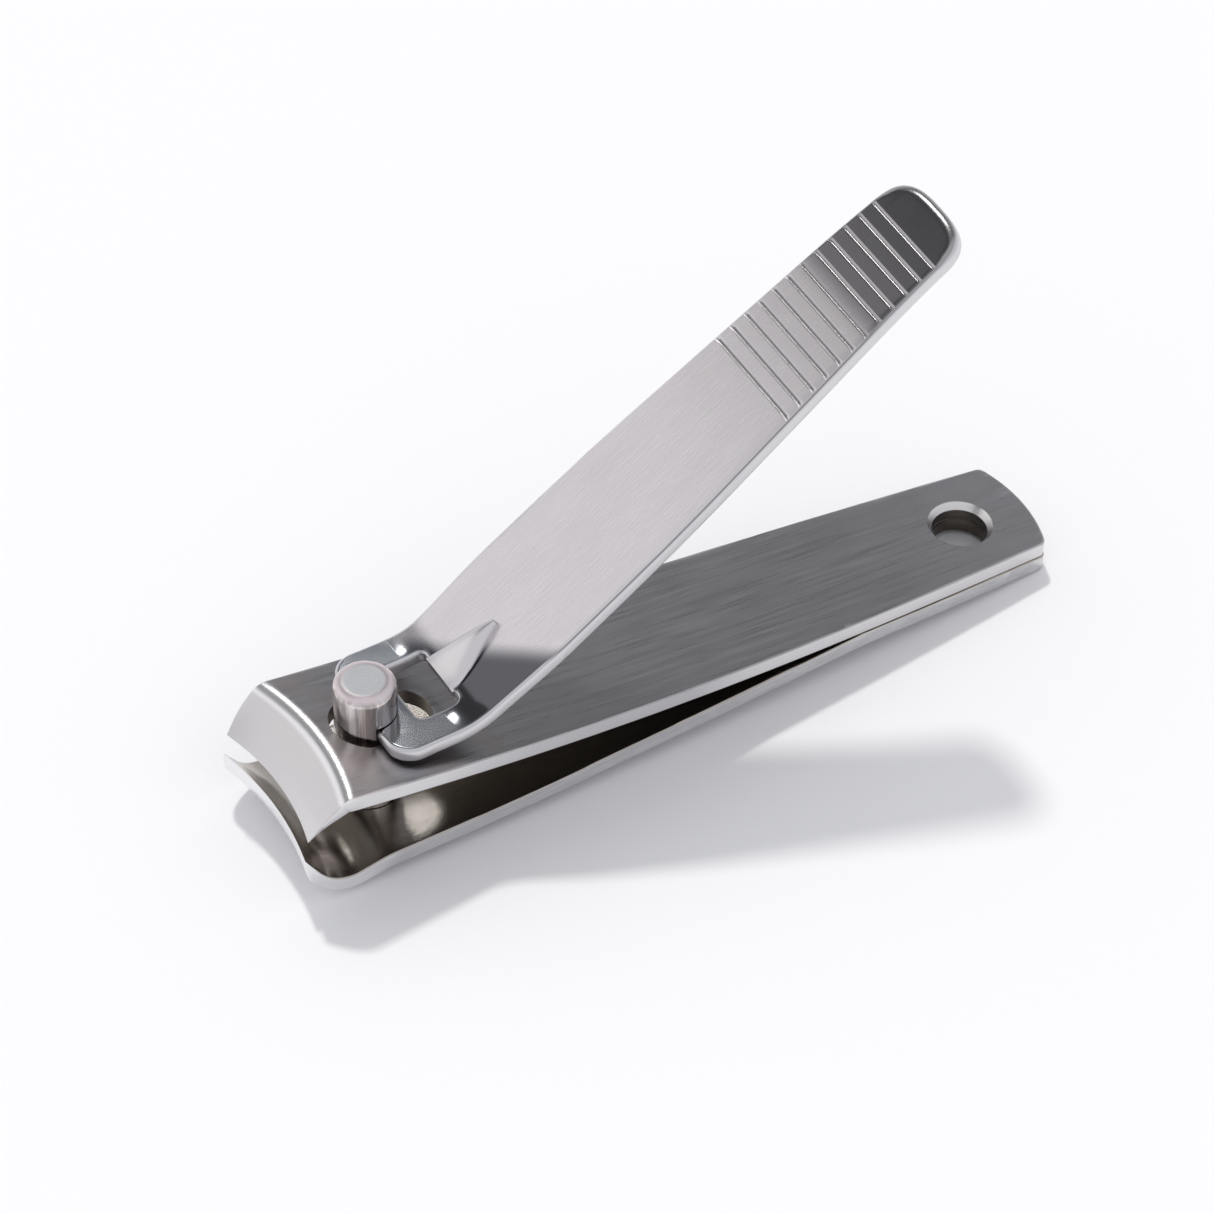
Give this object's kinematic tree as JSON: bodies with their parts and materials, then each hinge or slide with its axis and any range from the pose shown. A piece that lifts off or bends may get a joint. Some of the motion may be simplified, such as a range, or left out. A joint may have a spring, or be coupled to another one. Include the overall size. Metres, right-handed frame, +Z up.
{
  "type": "fingernail clipper",
  "caption": "Fingernail clipper with sprung upper and lower arms, curved cutting lips, a notched pivot pin and a raised thumb lever with finger grooves.",
  "frame": {"origin": "centre of the bounding box's base: the plane on which the pin's foot and the lower arm's rear end rest", "axes": "+X from the cutting edges to the rear end, +Y across the arms, +Z up from the lower arm to the upper arm and the lever"},
  "size_m": [0.0604, 0.0124, 0.0346],
  "materials": {
    "lower_arm_steel": "plated sheet, polished inside the lip, satin at its ground edge",
    "upper_arm_steel": "plated sheet brushed along its length, lip ground smooth",
    "pin_steel": "turned and polished",
    "lever_steel": "plated sheet with a soft satin top and polished rounded edges"
  },
  "bodies": {
    "lower": {"lower_arm": "lower_arm_steel"},
    "upper": {"upper_arm": "upper_arm_steel"},
    "pin": {"pivot_pin": "pin_steel"},
    "lever": {"thumb_lever": "lever_steel"}
  },
  "joints": [
    {"name": "pin_swivel", "type": "hinge", "parent": "lower", "child": "pin", "pos_m": [-0.02226, 0, 0], "axis": [0, 0, 1], "range_deg": [-8, 8]},
    {"name": "lever_press", "type": "hinge", "parent": "pin", "child": "lever", "pos_m": [-0.02198, 0, 0.0091], "axis": [0, 1, 0], "range_deg": [0, 24]},
    {"name": "jaw_close", "type": "hinge", "parent": "lower", "child": "upper", "pos_m": [0.01317, 0, 0.00268], "axis": [0, -1, 0], "range_deg": [0, 2.4], "stiffness_Nm_per_rad": 4, "springref_deg": -0.57}
  ],
  "couplings": [
    {"joint": "jaw_close", "follows": "lever_press", "ratio": 0.1}
  ]
}
